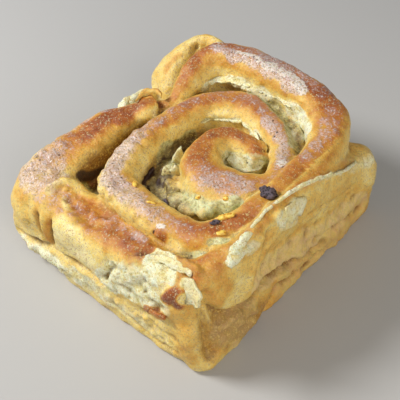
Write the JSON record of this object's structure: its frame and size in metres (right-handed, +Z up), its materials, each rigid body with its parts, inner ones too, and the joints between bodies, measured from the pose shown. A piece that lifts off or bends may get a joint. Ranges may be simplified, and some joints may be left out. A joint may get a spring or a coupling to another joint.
{
  "type": "cinnamon roll",
  "caption": "Square pull-apart cinnamon roll: a coil of baked dough with browned crests, pale filling in the valleys and torn sides.",
  "frame": {"origin": "under the middle of the roll, on the surface it rests on", "axes": "+Z up out of the coil; +Y towards the tall back strand of the coil, along the slightly longer side; +X towards the torn side that the coil's tail runs along"},
  "size_m": [0.088, 0.0934, 0.0467],
  "materials": {
    "crust": "baked dough, browned on the crests, pale and porous where torn",
    "dark_crumb": "dry dark crumb, grainy",
    "zest": "moist candied zest"
  },
  "bodies": {
    "root": {"roll": "crust", "dark_crumb_large": "dark_crumb", "dark_crumb_small": "dark_crumb", "dark_crumb_valley": "dark_crumb", "zest_shred_1": "zest", "zest_shred_2": "zest", "zest_shred_3": "zest", "zest_shred_4": "zest", "zest_shred_5": "zest", "zest_shred_6": "zest"}
  },
  "joints": []
}
